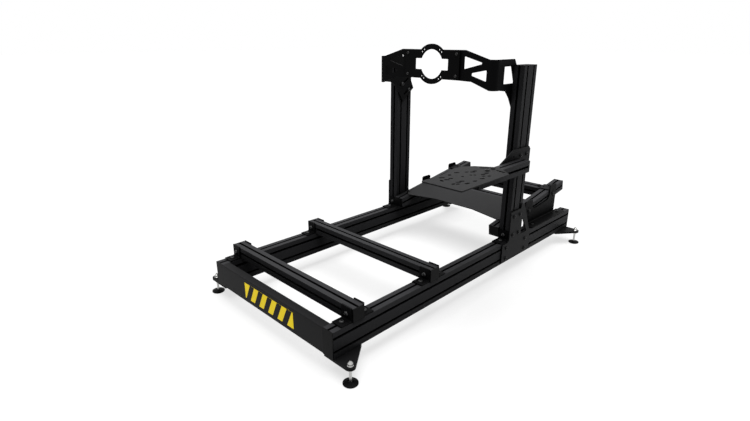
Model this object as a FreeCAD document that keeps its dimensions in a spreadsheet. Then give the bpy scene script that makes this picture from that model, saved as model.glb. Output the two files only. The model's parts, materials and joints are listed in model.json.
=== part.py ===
"""Sim racing cockpit: an open frame of slotted aluminium profiles, bent plates and levelling feet.

The driver looks along +Y, +X is the driver's right and the feet stand on z = 0.
Every piece is drawn in structure coordinates: x = 0 on the frame's middle plane, y = 0 at the
seat end of the rails and z = 0 on the floor. The two frame shifts then put the origin at the
bottom centre of the whole cockpit.
"""
import FreeCAD, Part
import math
import os
import Sketcher

# Driving dimensions, in millimetres and degrees
SIZES = {
    "frame_width": 596,
    "rail_length": 1342,
    "rail_clearance": 56,
    "profile_side": 40,
    "profile_tall": 80,
    "slot_mouth": 8,
    "slot_lip": 4.5,
    "slot_inner": 17,
    "slot_floor": 9,
    "slot_depth": 11.5,
    "cap_thickness": 3,
    "cover_depth": 27,
    "cover_sheet": 3,
    "foot_plate_length": 98,
    "foot_plate_corner": 76,
    "foot_plate_thickness": 8,
    "foot_plate_inset": 3,
    "foot_plate_round": 15,
    "foot_offset": 46,
    "foot_inset": 18,
    "foot_disc_diameter": 42,
    "foot_disc_height": 8,
    "foot_disc_edge": 1.5,
    "foot_hub_rim": 2,
    "spindle_diameter": 8,
    "spindle_top": 14,
    "spindle_hole": 9,
    "nut_across": 15,
    "nut_height": 6.5,
    "seat_bar_one": 70,
    "seat_bar_two": 388,
    "bracket_leg": 38,
    "bracket_width": 38,
    "upright_bracket_leg": 47,
    "bracket_thickness": 4,
    "bracket_hole": 8.5,
    "bracket_hole_place": 21,
    "upright_place": 839,
    "upright_length": 615,
    "gusset_thickness": 5,
    "gusset_near": 44,
    "gusset_body_top": 77,
    "gusset_bottom": 6,
    "gusset_top": 193,
    "gusset_front_lap": 2,
    "gusset_apex": 207,
    "gusset_apex_width": 21,
    "gusset_far": 152,
    "gusset_arm_foot": 149,
    "gusset_window_width": 43,
    "gusset_window_height": 73,
    "gusset_bolt_near": 17,
    "gusset_bolt_far": 116,
    "gusset_bolt_high": 172,
    "gusset_bolt_low": 101,
    "wheel_plate_width": 239,
    "wheel_plate_height": 98,
    "wheel_plate_thickness": 5,
    "wheel_plate_drop": 3,
    "wheel_ring_diameter": 135.5,
    "wheel_hole_diameter": 99.6,
    "wheel_notch_width": 145.5,
    "wheel_notch_height": 37.4,
    "wheel_notch_round": 3,
    "wheel_bolt_circle": 117.6,
    "wheel_bolt_angle_one": 34.5,
    "wheel_bolt_angle_two": 45.8,
    "wheel_bolt_hole": 6.6,
    "wheel_fix_spacing_x": 214,
    "wheel_fix_spacing_z": 72,
    "wheel_fix_hole": 6.6,
    "wheel_stand_off": 108.5,
    "side_sheet": 5,
    "side_bend_radius": 20,
    "side_front_lap": 24,
    "side_height": 97,
    "side_taper_top_start": 138,
    "side_taper_top_end": 231.5,
    "side_taper_low_start": 167,
    "side_taper_low_end": 237,
    "side_leg_top_depth": 112,
    "side_tab_far": 198,
    "side_tab_far_drop": 132,
    "side_tab_low": 132.4,
    "side_tab_low_drop": 181,
    "side_tab_high": 177.5,
    "side_tab_high_drop": 91,
    "side_tab_bend": 96,
    "side_tab_bend_drop": 125.5,
    "side_leg_step": 5,
    "side_tab_near": 72,
    "side_window_near": 52,
    "side_window_top_far": 96.5,
    "side_window_low_far": 120,
    "side_window_top_drop": 22.5,
    "side_window_low_drop": 78,
    "side_slot_angle": 30.8,
    "side_slot_length": 56,
    "side_slot_width": 7,
    "side_slot_one": 141.5,
    "side_slot_one_drop": 104.5,
    "side_slot_two": 163,
    "shifter_bracket_thickness": 5,
    "shifter_bracket_height": 56,
    "shifter_bracket_near": 106,
    "shifter_bracket_slope": 77,
    "shifter_bracket_far": 5,
    "shifter_beam_height": 367,
    "shifter_beam_near": 289,
    "shifter_beam_length": 299,
    "shifter_plate_thickness": 4,
    "shifter_plate_near": 387,
    "shifter_plate_length": 299,
    "shifter_plate_left": 252,
    "shifter_plate_right": 394,
    "shifter_plate_left_far": 233,
    "deck_place": 830,
    "deck_height": 125,
    "deck_tilt": 8.7,
    "deck_beam_length": 505,
    "heel_near": 49,
    "heel_notch": 25,
    "heel_notch_half": 92,
    "heel_far": 224,
    "heel_overhang": 20,
    "heel_sheet": 3,
    "heel_corner": 15,
    "heel_beam_place": 225,
    "toe_beam_place": 389,
    "deck_bracket_thickness": 4,
    "deck_bracket_start": 1018,
    "deck_bracket_length": 282,
    "deck_arm_width": 54,
    "deck_near_arm_height": 100,
    "deck_far_arm_height": 126,
    "deck_valley_height": 55,
    "deck_valley_far_height": 69,
    "deck_flange_hole_near": 33,
    "deck_flange_hole_far": 250,
    "deck_valley_round": 22,
    "deck_arm_round": 8,
    "deck_hole_pitch": 12.5,
    "deck_corner_plate": 46,
    "deck_corner_sheet": 4,
    "gusset_apex_place": 67,
    "gusset_apex_step": 2,
    "gusset_fillet": 12,
    "gusset_corner": 4,
    "gusset_window_near": 80,
    "gusset_window_low": 88,
    "side_top": 21.5,
    "side_low_step": 2,
    "side_hole_near": 134.5,
    "side_hole_top": 30,
    "side_hole_low": -12,
    "side_hole_point": 213.5,
    "side_hole_point_height": 9,
    "side_hole_two_near": 165.5,
    "side_hole_two_top": -23.3,
    "side_hole_two_low": -31.6,
    "side_hole_two_far": 224,
    "side_hole_two_bottom": -48.3,
    "side_hole_two_high": -11.4,
    "side_hole_round": 3,
    "side_slot_two_drop": 140,
    "shifter_bracket_corner": 10,
    "shifter_bolt_margin": 24,
    "shifter_spare_hole": 26,
    "shifter_beam_bolt": 80,
    "shifter_beam_bolt_far": 10,
    "shifter_plate_shoulder": 257,
    "shifter_plate_shoulder_in": 27,
    "shifter_plate_right_run": 247,
    "shifter_plate_left_start": 165,
    "shifter_plate_left_bend": 100,
    "shifter_plate_left_run": 222,
    "shifter_plate_round": 20,
    "shifter_plate_bolt_one": 27.5,
    "shifter_plate_bolt_two": 61,
    "shifter_slot_width": 6,
    "heel_bolt_inset": 22,
    "deck_corner_lap": 14,
    "deck_corner_margin": 10,
    "deck_far_arm_place": 195,
    "deck_hole": 6.6,
}

# Levels and planes that several pieces share, as expressions on the sheet "Dim"
RAIL_TOP = "(Dim.rail_clearance + Dim.profile_tall)"
OUTER = "(Dim.frame_width / 2)"
INNER = "(Dim.frame_width / 2 - Dim.profile_side)"
RAIL_MIDDLE = "(Dim.frame_width / 2 - Dim.profile_side / 2)"
RAIL_INSIDE_WIDTH = "(Dim.frame_width - 2 * Dim.profile_side)"
UPRIGHT_TOP = f"({RAIL_TOP} + Dim.upright_length + Dim.cap_thickness)"
NEAR_SLOT = "Dim.profile_tall / 4"
FAR_SLOT = "3 * Dim.profile_tall / 4"
WHEEL_CENTRE = f"({UPRIGHT_TOP} - Dim.wheel_plate_drop)"
WHEEL_FLANGE = "(Dim.upright_place - Dim.wheel_stand_off)"
BEAM_INNER = f"({OUTER} + Dim.shifter_bracket_thickness)"
BEAM_NEAR = "(Dim.upright_place - Dim.shifter_beam_near)"
BEAM_TOP = "(Dim.rail_clearance + Dim.shifter_beam_height + Dim.profile_side / 2)"
DECK_ORIGIN = "(Dim.rail_clearance + Dim.deck_height)"
CROSS_LENGTH = "(Dim.frame_width - 4 * Dim.profile_side)"
FOOT_REACH = "(Dim.frame_width / 2 + Dim.foot_offset + Dim.foot_disc_diameter / 2)"
SHIFT_X = f"(({FOOT_REACH} - Dim.shifter_plate_right) / 2)"
SHIFT_Y = "(-Dim.rail_length / 2)"
X_AXIS = FreeCAD.Vector(1, 0, 0)
Z_AXIS = FreeCAD.Vector(0, 0, 1)
DIRECTIONS = {
    "XY_Plane": FreeCAD.Vector(0, 0, 1),
    "XZ_Plane": FreeCAD.Vector(0, 1, 0),
    "YZ_Plane": FreeCAD.Vector(1, 0, 0),
}

doc = FreeCAD.newDocument("cockpit")
sheet = doc.addObject("Spreadsheet::Sheet", "Dim")
for row, (name, number) in enumerate(SIZES.items(), start=1):
    sheet.set(f"A{row}", name)
    sheet.set(f"B{row}", str(number))
    sheet.setAlias(f"B{row}", name)
doc.recompute()

subparts = []


def value(expression):
    """The number that an expression on the sheet gives now."""
    number = sheet.evalExpression(str(expression))
    return float(getattr(number, "Value", number))


def times(sign, expression):
    """An expression on one side of the middle plane, for sign 1 or -1."""
    return f"{sign} * ({expression})"


def place(thing, x="0", y="0", z="0", axis=Z_AXIS, angle="0"):
    """Puts a piece at a place in structure coordinates, turned about an axis."""
    thing.Placement = FreeCAD.Placement(FreeCAD.Vector(0, 0, 0), FreeCAD.Rotation(axis, 1))
    thing.setExpression("Placement.Base.x", f"{x} + {SHIFT_X}")
    thing.setExpression("Placement.Base.y", f"{y} + {SHIFT_Y}")
    thing.setExpression("Placement.Base.z", str(z))
    thing.setExpression("Placement.Rotation.Angle", str(angle))
    return thing


def keep(thing, label):
    """Makes a piece a sub-part with its own name."""
    thing.Label = label
    subparts.append(thing)
    return thing


def group(label, things):
    """Like pieces that don't touch, kept as one sub-part."""
    compound = doc.addObject("Part::Compound", label)
    compound.Links = things
    return keep(compound, label)


# Sketches and the features made from them
def new_body(name):
    return doc.addObject("PartDesign::Body", name)


def new_sketch(body, plane):
    sketch = body.newObject("Sketcher::SketchObject", "sketch")
    support = [feature for feature in body.Origin.OriginFeatures if feature.Role == plane][0]
    sketch.AttachmentSupport = [(support, "")]
    sketch.MapMode = "FlatFace"
    return sketch


def hold(sketch, kind, geometry, point, expression):
    """Ties one coordinate of a point of the sketch to the sheet."""
    constraint = Sketcher.Constraint(kind, -1, 1, geometry, point, value(expression))
    index = sketch.addConstraint(constraint)
    sketch.setExpression(f"Constraints[{index}]", str(expression))


def draw_outline(sketch, points):
    """A closed outline of straight lines through points given as pairs of expressions."""
    spots = [FreeCAD.Vector(value(x), value(y), 0) for x, y in points]
    lines = []
    for number, spot in enumerate(spots):
        following = spots[(number + 1) % len(spots)]
        lines.append(sketch.addGeometry(Part.LineSegment(spot, following), False))
    for number, line in enumerate(lines):
        following = lines[(number + 1) % len(lines)]
        sketch.addConstraint(Sketcher.Constraint("Coincident", line, 2, following, 1))
    for line, (x, y) in zip(lines, points):
        hold(sketch, "DistanceX", line, 1, x)
        hold(sketch, "DistanceY", line, 1, y)


def draw_circle(sketch, x, y, diameter):
    centre = FreeCAD.Vector(value(x), value(y), 0)
    circle = sketch.addGeometry(Part.Circle(centre, Z_AXIS, value(diameter) / 2), False)
    hold(sketch, "DistanceX", circle, 3, x)
    hold(sketch, "DistanceY", circle, 3, y)
    index = sketch.addConstraint(Sketcher.Constraint("Diameter", circle, value(diameter)))
    sketch.setExpression(f"Constraints[{index}]", str(diameter))


def draw_slot(sketch, x, y, length, width, angle):
    """A slot with round ends: its middle, its length over the ends, its width and its angle."""
    half = f"(({length}) - ({width})) / 2"
    ends = []
    for sign in (1, -1):
        end_x = f"{x} + {sign} * {half} * cos({angle})"
        end_y = f"{y} + {sign} * {half} * sin({angle})"
        ends.append((end_x, end_y))
    radius = value(width) / 2
    turn = math.radians(value(angle))
    centres = [FreeCAD.Vector(value(end_x), value(end_y), 0) for end_x, end_y in ends]
    side = FreeCAD.Vector(-math.sin(turn), math.cos(turn), 0) * radius
    arcs = []
    for centre, start in zip(centres, (turn - math.pi / 2, turn + math.pi / 2)):
        arc = Part.ArcOfCircle(Part.Circle(centre, Z_AXIS, radius), start, start + math.pi)
        arcs.append(sketch.addGeometry(arc, False))
    upper = sketch.addGeometry(Part.LineSegment(centres[0] + side, centres[1] + side), False)
    lower = sketch.addGeometry(Part.LineSegment(centres[1] - side, centres[0] - side), False)
    for first, first_point, second, second_point in (
        (arcs[0], 2, upper, 1),
        (upper, 2, arcs[1], 1),
        (arcs[1], 2, lower, 1),
        (lower, 2, arcs[0], 1),
    ):
        sketch.addConstraint(Sketcher.Constraint("Tangent", first, first_point, second, second_point))
    sketch.addConstraint(Sketcher.Constraint("Equal", arcs[0], arcs[1]))
    for arc, (end_x, end_y) in zip(arcs, ends):
        hold(sketch, "DistanceX", arc, 3, end_x)
        hold(sketch, "DistanceY", arc, 3, end_y)
    index = sketch.addConstraint(Sketcher.Constraint("Radius", arcs[0], radius))
    sketch.setExpression(f"Constraints[{index}]", f"({width}) / 2")


def pad(body, plane, points, length, reverse=False):
    """A plate or bar of one outline. Without reverse it grows along +Z, -Y or +X."""
    sketch = new_sketch(body, plane)
    draw_outline(sketch, points)
    return pad_sketch(body, sketch, length, reverse)


def pad_sketch(body, sketch, length, reverse=False):
    feature = body.newObject("PartDesign::Pad", "pad")
    feature.Profile = sketch
    feature.setExpression("Length", str(length))
    feature.Reversed = reverse
    doc.recompute()
    return feature


def cut(body, plane, outlines=(), circles=(), slots=()):
    """Openings that go right through the body, square to a plane. The volume has to fall."""
    before = body.Shape.Volume
    sketch = new_sketch(body, plane)
    for points in outlines:
        draw_outline(sketch, points)
    for circle in circles:
        draw_circle(sketch, *circle)
    for slot in slots:
        draw_slot(sketch, *slot)
    feature = body.newObject("PartDesign::Pocket", "pocket")
    feature.Profile = sketch
    feature.Type = "ThroughAll"
    feature.Midplane = True
    doc.recompute()
    if body.Shape.Volume >= before:
        raise RuntimeError(f"{body.Name}: the openings cut nothing")
    return feature


def edges_at(shape, direction, spot):
    """Names of the straight edges along a direction that pass through a spot given in two coordinates."""
    names = []
    for number, edge in enumerate(shape.Edges, start=1):
        if not isinstance(edge.Curve, Part.Line):
            continue
        along = edge.Vertexes[-1].Point - edge.Vertexes[0].Point
        if along.Length == 0 or abs(abs(along.normalize().dot(direction)) - 1) > 1e-6:
            continue
        point = edge.Vertexes[0].Point
        across = [c for c, part in zip(point, direction) if abs(part) < 0.5]
        if abs(across[0] - spot[0]) < 0.01 and abs(across[1] - spot[1]) < 0.01:
            names.append(f"Edge{number}")
    return names


def round_corners(body, plane, points, radius):
    """Rounds the corners of a plate that stand at the given points of its plane."""
    before = body.Shape.copy()
    base = body.Tip
    names = []
    for x, y in points:
        found = edges_at(base.Shape, DIRECTIONS[plane], (value(x), value(y)))
        if not found:
            raise RuntimeError(f"{body.Name}: no corner at {x}, {y}")
        names.extend(found)
    fillet = body.newObject("PartDesign::Fillet", "fillet")
    fillet.Base = (base, names)
    fillet.setExpression("Radius", str(radius))
    doc.recompute()
    if body.Shape.isNull() or abs(body.Shape.Volume - before.Volume) < 1e-6:
        raise RuntimeError(f"{body.Name}: the corners stayed sharp")
    return fillet


# The slotted profile, in two sizes
def slot_points(along, normal, middle, face):
    """One T-slot in a face: the mouth, the lips and the wider inside, as points of the section."""
    mouth = "Dim.slot_mouth / 2"
    inner = "Dim.slot_inner / 2"
    floor = "Dim.slot_floor / 2"
    shape = [
        (f"-{mouth}", "0"),
        (f"-{mouth}", "Dim.slot_lip"),
        (f"-{inner}", "Dim.slot_lip"),
        (f"-{inner}", "(Dim.slot_depth + Dim.slot_lip) / 2"),
        (f"-{floor}", "Dim.slot_depth"),
        (floor, "Dim.slot_depth"),
        (inner, "(Dim.slot_depth + Dim.slot_lip) / 2"),
        (inner, "Dim.slot_lip"),
        (mouth, "Dim.slot_lip"),
        (mouth, "0"),
    ]
    points = []
    for across, depth in shape:
        run = f"({middle}) + {along} * ({across})"
        rise = f"{normal} * (({face}) - ({depth}))"
        points.append((run, rise))
    return points


def section(wide, tall):
    """Outline of a profile about its middle, with one slot for every 40 mm of each side."""
    sides = (
        (1, -1, wide, tall, False),
        (1, 1, tall, wide, True),
        (-1, 1, wide, tall, False),
        (-1, -1, tall, wide, True),
    )
    outline = []
    for along, normal, length, depth, upright in sides:
        corner = (f"{along} * -({length}) / 2", f"{normal} * ({depth}) / 2")
        outline.append((corner[1], corner[0]) if upright else corner)
        slots = round(value(length) / value("Dim.profile_side"))
        for number in range(slots):
            middle = f"{along} * ({length}) * ({number} + 0.5 - {slots} / 2) / {slots}"
            for run, rise in slot_points(along, normal, middle, f"({depth}) / 2"):
                outline.append((rise, run) if upright else (run, rise))
    return outline


SQUARE = ("Dim.profile_side", "Dim.profile_side")
STANDING = ("Dim.profile_side", "Dim.profile_tall")


def profile(name, plane, size, length, centre=("0", "0")):
    """A length of profile. It runs along +Z, +Y or +X from its plane."""
    body = new_body(name)
    points = [(f"{x} + {centre[0]}", f"{y} + {centre[1]}") for x, y in section(*size)]
    pad(body, plane, points, length, reverse=plane == "XZ_Plane")
    return body


def rectangle(wide, tall, centre=("0", "0")):
    points = []
    for across, up in ((-1, -1), (1, -1), (1, 1), (-1, 1)):
        x = f"{centre[0]} + {across} * ({wide}) / 2"
        y = f"{centre[1]} + {up} * ({tall}) / 2"
        points.append((x, y))
    return points


def cap(name, plane, size, centre=("0", "0")):
    """A thin end cap of a profile's own outline."""
    body = new_body(name)
    pad(body, plane, rectangle(*size, centre), "Dim.cap_thickness", reverse=plane == "XZ_Plane")
    return body


def plain_length(length):
    """The length of a profile between its two caps."""
    return f"({length}) - 2 * Dim.cap_thickness"


# The base: two rails, the cover that joins their seat ends, and the feet
def build_rails():
    middle = "Dim.rail_clearance + Dim.profile_tall / 2"
    for sign, side in ((-1, "left"), (1, "right")):
        rail = profile(f"{side}_rail", "XZ_Plane", STANDING, plain_length("Dim.rail_length"))
        place(rail, times(sign, RAIL_MIDDLE), "Dim.cap_thickness", middle)
        keep(rail, f"{side}_rail")
    caps = []
    for sign in (-1, 1):
        for y in ("0", "Dim.rail_length - Dim.cap_thickness"):
            end = cap("rail_cap", "XZ_Plane", STANDING)
            caps.append(place(end, times(sign, RAIL_MIDDLE), y, middle))
    group("rail_end_caps", caps)


def build_rear_cover():
    """A sheet channel, open towards the pedals, whose face is flush with the rail ends."""
    tall = "Dim.profile_tall"
    sheet_edge = "Dim.cover_sheet"
    depth = "Dim.cover_depth"
    points = [
        ("0", "0"),
        (depth, "0"),
        (depth, sheet_edge),
        (sheet_edge, sheet_edge),
        (sheet_edge, f"{tall} - {sheet_edge}"),
        (depth, f"{tall} - {sheet_edge}"),
        (depth, tall),
        ("0", tall),
    ]
    body = new_body("rear_cover")
    pad(body, "YZ_Plane", points, RAIL_INSIDE_WIDTH)
    round_corners(body, "YZ_Plane", [("0", "0"), ("0", tall)], sheet_edge)
    place(body, f"-{INNER}", "0", "Dim.rail_clearance")
    keep(body, "rear_cover")


def corner_places():
    """The four corners of the frame: the side, the end and the y of the rail's end there."""
    for side in (-1, 1):
        for end, y in ((1, "0"), (-1, "Dim.rail_length")):
            yield side, end, y


def build_feet():
    plates = []
    spindles = []
    discs = []
    plate_top = "Dim.rail_clearance"
    for side, end, y in corner_places():
        rod_x = times(side, f"{OUTER} + Dim.foot_offset")
        rod_y = f"{y} + {end} * Dim.foot_inset"
        plates.append(foot_plate(side, end, y, plate_top))
        spindles.append(place(foot_spindle(), rod_x, rod_y, "Dim.foot_disc_height"))
        discs.append(place(foot_disc(), rod_x, rod_y, "0"))
    group("foot_plates", plates)
    group("foot_spindles", spindles)
    group("foot_discs", discs)


def foot_plate(side, end, y, plate_top):
    """A flat triangular plate under the rail, whose round tip carries the spindle."""
    def spot(across, along):
        return times(side, across), times(end, along)
    near = "Dim.foot_plate_inset"
    far = "Dim.foot_plate_inset + Dim.foot_plate_length"
    points = [
        spot("-Dim.profile_side", near),
        spot("Dim.foot_plate_corner", near),
        spot("0", far),
        spot("-Dim.profile_side", far),
    ]
    body = new_body("foot_plate")
    pad(body, "XY_Plane", points, "Dim.foot_plate_thickness")
    round_corners(body, "XY_Plane", [points[1]], "Dim.foot_plate_round")
    rod = spot("Dim.foot_offset", "Dim.foot_inset")
    bolt_one = spot("-Dim.profile_side / 2", "Dim.foot_plate_inset + Dim.foot_plate_length / 5")
    bolt_two = spot("-Dim.profile_side / 2", "Dim.foot_plate_inset + 4 * Dim.foot_plate_length / 5")
    holes = [(*rod, "Dim.spindle_hole")]
    holes += [(*bolt, "Dim.bracket_hole") for bolt in (bolt_one, bolt_two)]
    cut(body, "XY_Plane", circles=holes)
    return place(body, times(side, OUTER), y, f"{plate_top} - Dim.foot_plate_thickness")


def foot_spindle():
    """A levelling screw with a nut above and below the plate and a domed top."""
    radius = "Dim.spindle_diameter / 2"
    nut = "Dim.nut_across / 2"
    plate_low = "Dim.rail_clearance - Dim.foot_plate_thickness - Dim.foot_disc_height"
    plate_high = "Dim.rail_clearance - Dim.foot_disc_height"
    top = f"{plate_high} + Dim.spindle_top"
    points = [
        ("0", "0"),
        (radius, "0"),
        (radius, f"{plate_low} - Dim.nut_height"),
        (nut, f"{plate_low} - Dim.nut_height"),
        (nut, plate_low),
        (radius, plate_low),
        (radius, plate_high),
        (nut, plate_high),
        (nut, f"{plate_high} + Dim.nut_height"),
        (radius, f"{top} - Dim.nut_height / 2"),
        (f"{radius} / 2", top),
        ("0", top),
    ]
    return revolve("foot_spindle", points)


def foot_disc():
    """A round pad with a raised hub."""
    rim = "Dim.foot_disc_diameter / 2"
    points = [
        ("0", "0"),
        (f"{rim} - Dim.foot_disc_edge", "0"),
        (rim, "Dim.foot_disc_edge"),
        (rim, "Dim.foot_disc_height / 2"),
        ("Dim.nut_across / 2 + Dim.foot_hub_rim", "Dim.foot_disc_height"),
        ("0", "Dim.foot_disc_height"),
    ]
    return revolve("foot_disc", points)


def revolve(name, points):
    """A turned piece about its own Z axis from a half outline."""
    body = new_body(name)
    sketch = new_sketch(body, "XZ_Plane")
    draw_outline(sketch, points)
    feature = body.newObject("PartDesign::Revolution", "revolution")
    feature.Profile = sketch
    feature.ReferenceAxis = (sketch, ["V_Axis"])
    feature.Angle = 360
    doc.recompute()
    return body


# The two bars that carry the seat, and the angle brackets used all over the frame
def build_seat_bars():
    caps = []
    middle = f"{RAIL_TOP} + Dim.profile_side / 2"
    for name, y in (("rear", "Dim.seat_bar_one"), ("front", "Dim.seat_bar_two")):
        bar = profile(f"{name}_seat_bar", "YZ_Plane", SQUARE, "Dim.frame_width")
        centre_y = f"{y} + Dim.profile_side / 2"
        place(bar, f"-{OUTER}", centre_y, middle)
        keep(bar, f"{name}_seat_bar")
        for x in (f"-{OUTER} - Dim.cap_thickness", OUTER):
            caps.append(place(cap("seat_bar_cap", "YZ_Plane", SQUARE), x, centre_y, middle))
        brackets = []
        for sign in (-1, 1):
            for facing, wall in ((1, y), (-1, f"{y} + Dim.profile_side")):
                piece = angle_bracket(facing)
                brackets.append(place(piece, times(sign, RAIL_MIDDLE), wall, RAIL_TOP))
        group(f"{name}_seat_bar_brackets", brackets)
    group("seat_bar_end_caps", caps)


def angle_bracket(facing, reach="Dim.bracket_leg"):
    """A bent angle: one leg on the rail, one leg on the wall at y = 0. Facing 1 stands before it."""
    thick = "Dim.bracket_thickness"
    leg = "Dim.bracket_leg"
    points = []
    for back, up in (("0", "0"), (reach, "0"), (reach, thick), (thick, thick), (thick, leg), ("0", leg)):
        points.append((times(-facing, back), up))
    body = new_body("angle_bracket")
    pad(body, "YZ_Plane", points, "Dim.bracket_width")
    round_corners(body, "YZ_Plane", [points[3]], thick)
    middle = "Dim.bracket_width / 2"
    hole = "Dim.bracket_hole"
    place_out = times(-facing, "Dim.bracket_hole_place")
    cut(body, "XY_Plane", circles=[(middle, place_out, hole)])
    cut(body, "XZ_Plane", circles=[(middle, "Dim.bracket_hole_place", hole)])
    return shift_middle(body)


def shift_middle(body):
    """A holder that centres an angle bracket on x = 0."""
    holder = doc.addObject("Part::Compound", "centred")
    holder.Links = [body]
    body.setExpression("Placement.Base.x", "-Dim.bracket_width / 2")
    return holder


# The uprights, their foot brackets and the gusset plates on the outside
def build_uprights():
    caps = []
    brackets = []
    middle_y = "Dim.upright_place + Dim.profile_tall / 2"
    for sign, side in ((-1, "left"), (1, "right")):
        x = times(sign, RAIL_MIDDLE)
        upright = profile(f"{side}_upright", "XY_Plane", STANDING, "Dim.upright_length")
        keep(place(upright, x, middle_y, RAIL_TOP), f"{side}_upright")
        top = f"{RAIL_TOP} + Dim.upright_length"
        caps.append(place(cap("upright_cap", "XY_Plane", STANDING), x, middle_y, top))
        foot = angle_bracket(1, "Dim.upright_bracket_leg")
        brackets.append(place(foot, x, "Dim.upright_place", RAIL_TOP))
        keep(gusset(f"{side}_gusset", sign), f"{side}_gusset")
    group("upright_top_caps", caps)
    group("upright_foot_brackets", brackets)


def gusset(name, sign):
    """The A-shaped plate that ties the rail to the upright: a broad leg, a slim leg and a window between."""
    body_top = "Dim.gusset_body_top"
    front = "-Dim.gusset_front_lap"
    apex_far = "Dim.gusset_apex_place + Dim.gusset_apex_width"
    points = [
        ("-Dim.gusset_near", "Dim.gusset_bottom"),
        ("Dim.gusset_far", "Dim.gusset_bottom"),
        ("Dim.gusset_arm_foot", body_top),
        (apex_far, "Dim.gusset_apex"),
        ("Dim.gusset_apex_place", "Dim.gusset_apex"),
        ("Dim.gusset_apex_place - Dim.gusset_apex_step", "Dim.gusset_top"),
        (front, "Dim.gusset_top"),
        (front, body_top),
        ("-Dim.gusset_near", body_top),
    ]
    body = new_body(name)
    pad(body, "YZ_Plane", points, "Dim.gusset_thickness", reverse=sign < 0)
    round_corners(body, "YZ_Plane", [points[1], points[7]], "Dim.gusset_fillet")
    round_corners(body, "YZ_Plane", [points[n] for n in (0, 3, 4, 6, 8)], "Dim.gusset_corner")
    low = "Dim.gusset_window_low"
    window = [
        ("Dim.gusset_window_near", low),
        ("Dim.gusset_window_near + Dim.gusset_window_width", low),
        ("Dim.gusset_window_near", f"{low} + Dim.gusset_window_height"),
    ]
    holes = []
    for y in (NEAR_SLOT, FAR_SLOT):
        for z in ("Dim.gusset_bolt_high", "Dim.gusset_bolt_low"):
            holes.append((y, z, "Dim.bracket_hole"))
    for y in ("-Dim.gusset_bolt_near", "Dim.gusset_bolt_far"):
        for z in (NEAR_SLOT, FAR_SLOT):
            holes.append((y, z, "Dim.bracket_hole"))
    cut(body, "YZ_Plane", outlines=[window], circles=holes)
    round_corners(body, "YZ_Plane", window, "Dim.gusset_corner")
    return place(body, times(sign, OUTER), "Dim.upright_place", "Dim.rail_clearance")


# The wheel mount: a front plate and two bent side brackets
def build_wheel_mount():
    front_y = f"{WHEEL_FLANGE} - Dim.wheel_plate_thickness"
    body = new_body("wheel_plate")
    thick = "Dim.wheel_plate_thickness"
    outline = rectangle("Dim.wheel_plate_width", "Dim.wheel_plate_height")
    pad(body, "XZ_Plane", outline, thick, reverse=True)
    ring = new_sketch(body, "XZ_Plane")
    draw_circle(ring, "0", "0", "Dim.wheel_ring_diameter")
    pad_sketch(body, ring, thick, reverse=True)
    cut(body, "XZ_Plane", circles=[("0", "0", "Dim.wheel_hole_diameter")])
    notch = rectangle("Dim.wheel_notch_width", "Dim.wheel_notch_height")
    cut(body, "XZ_Plane", outlines=[notch])
    round_corners(body, "XZ_Plane", notch, "Dim.wheel_notch_round")
    radius = "Dim.wheel_bolt_circle / 2"
    holes = []
    for up in (1, -1):
        for across in (1, -1):
            for angle in ("Dim.wheel_bolt_angle_one", "Dim.wheel_bolt_angle_two"):
                x = f"{across} * {radius} * sin({angle})"
                z = f"{up} * {radius} * cos({angle})"
                holes.append((x, z, "Dim.wheel_bolt_hole"))
    cut(body, "XZ_Plane", circles=holes)
    cut(body, "XZ_Plane", circles=wheel_fixings("0"))
    place(body, "0", front_y, WHEEL_CENTRE)
    keep(body, "wheel_plate")
    for sign, side in ((-1, "left"), (1, "right")):
        keep(wheel_bracket(f"{side}_wheel_bracket", sign), f"{side}_wheel_bracket")


def wheel_fixings(middle_x):
    """The four bolts that hold the front plate on the side brackets."""
    holes = []
    for across in (1, -1):
        for up in (1, -1):
            x = f"{across} * Dim.wheel_fix_spacing_x / 2 - ({middle_x})"
            z = f"{up} * Dim.wheel_fix_spacing_z / 2"
            holes.append((x, z, "Dim.wheel_fix_hole"))
    return holes


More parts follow.
